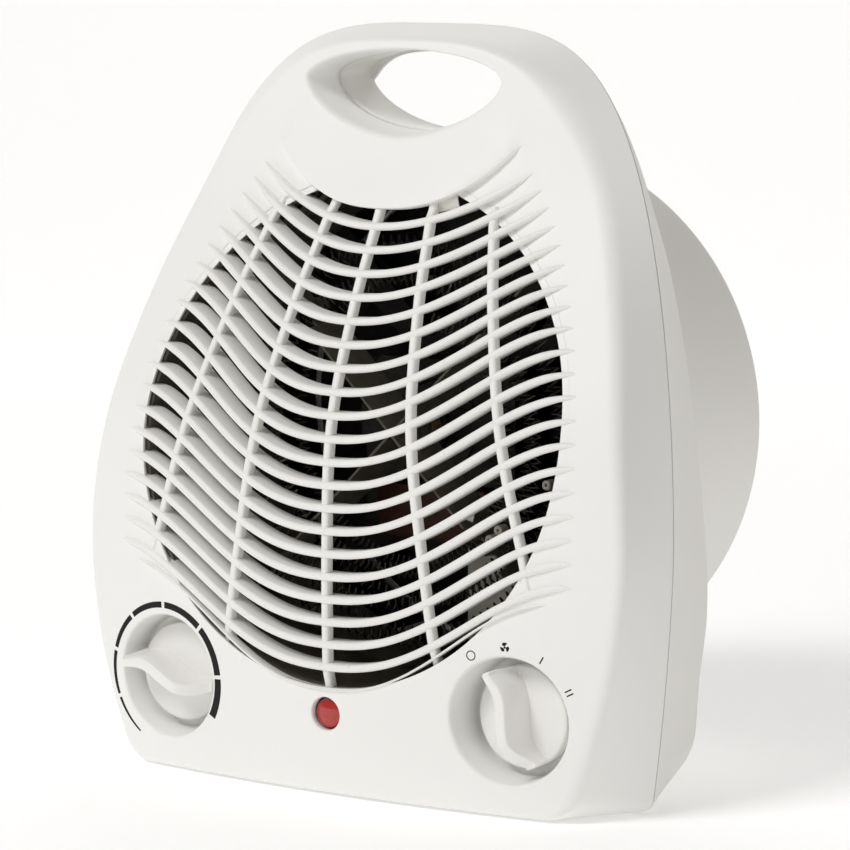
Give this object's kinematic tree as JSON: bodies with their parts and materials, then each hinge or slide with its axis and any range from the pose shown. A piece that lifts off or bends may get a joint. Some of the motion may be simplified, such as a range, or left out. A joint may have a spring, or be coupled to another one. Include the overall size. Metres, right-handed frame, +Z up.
{
  "type": "fan heater",
  "caption": "Upright fan convector heater: two-shell plastic housing with carrying hole, slatted outlet, rear drum intake, mode dial, thermostat dial, pilot lamp, element, fan and motor.",
  "frame": {"origin": "on the floor, below the middle of the bounding box", "axes": "+Z up, -Y out of the slatted front, +X to the right as seen from the front"},
  "size_m": [0.2144, 0.1286, 0.25],
  "materials": {
    "shell_plastic": "fine spark-eroded texture",
    "knob_plastic": "smooth satin",
    "dark_plastic": "matte",
    "lens": "clear red",
    "sheet": "mill finish",
    "mica": "pressed mica board",
    "nichrome": "oxidised wire",
    "steel": "zinc plated",
    "copper": "enamelled winding",
    "brass": "bright",
    "rubber": "matte",
    "ceramic": "glazed body"
  },
  "bodies": {
    "housing": {"front_cover": "shell_plastic", "rear_cover": "shell_plastic", "front_grille": "shell_plastic", "rear_grille": "shell_plastic", "intake_filter": "dark_plastic", "screw_left_top": "steel", "screw_right_top": "steel", "screw_left_middle": "steel", "screw_right_middle": "steel", "screw_left_bottom": "steel", "screw_right_bottom": "steel", "foot_front_left": "rubber", "foot_front_right": "rubber", "foot_rear_left": "rubber", "foot_rear_right": "rubber", "rear_leg_left": "shell_plastic", "rear_leg_right": "shell_plastic", "lamp_lens": "lens", "lamp_body": "dark_plastic", "thermostat_body": "ceramic", "thermostat_terminals": "brass", "switch_body": "dark_plastic", "switch_terminals": "brass", "heater_duct": "sheet", "mica_blade_a": "mica", "mica_blade_b": "mica", "heating_coil_front": "nichrome", "heating_coil_back": "nichrome", "thermal_cutout": "dark_plastic", "thermal_fuse": "steel", "motor_stator": "steel", "motor_winding": "copper", "motor_strap_front": "steel", "motor_strap_back": "steel", "motor_bearing_front": "brass", "motor_bearing_back": "brass", "motor_spider": "dark_plastic", "motor_sleeve_left": "steel", "motor_sleeve_right": "steel", "cord_gland": "rubber", "cord_clamp": "dark_plastic", "terminal_block": "ceramic"},
    "rotor": {"fan_impeller": "dark_plastic", "fan_nut": "brass", "motor_shaft": "steel", "motor_rotor": "steel"},
    "mode_dial": {"mode_knob": "knob_plastic", "switch_spindle": "steel"},
    "thermostat_dial": {"thermostat_knob": "knob_plastic", "thermostat_spindle": "steel"}
  },
  "joints": [
    {"name": "fan_spin", "type": "hinge", "parent": "housing", "child": "rotor", "pos_m": [0, 0, 0.1153], "axis": [0, 1, 0], "continuous": true},
    {"name": "mode_turn", "type": "hinge", "parent": "housing", "child": "mode_dial", "pos_m": [0.0678, 0, 0.0322], "axis": [0, 1, 0], "range_deg": [0, 94]},
    {"name": "thermostat_turn", "type": "hinge", "parent": "housing", "child": "thermostat_dial", "pos_m": [-0.0678, 0, 0.0322], "axis": [0, 1, 0], "range_deg": [-45, 225]}
  ]
}
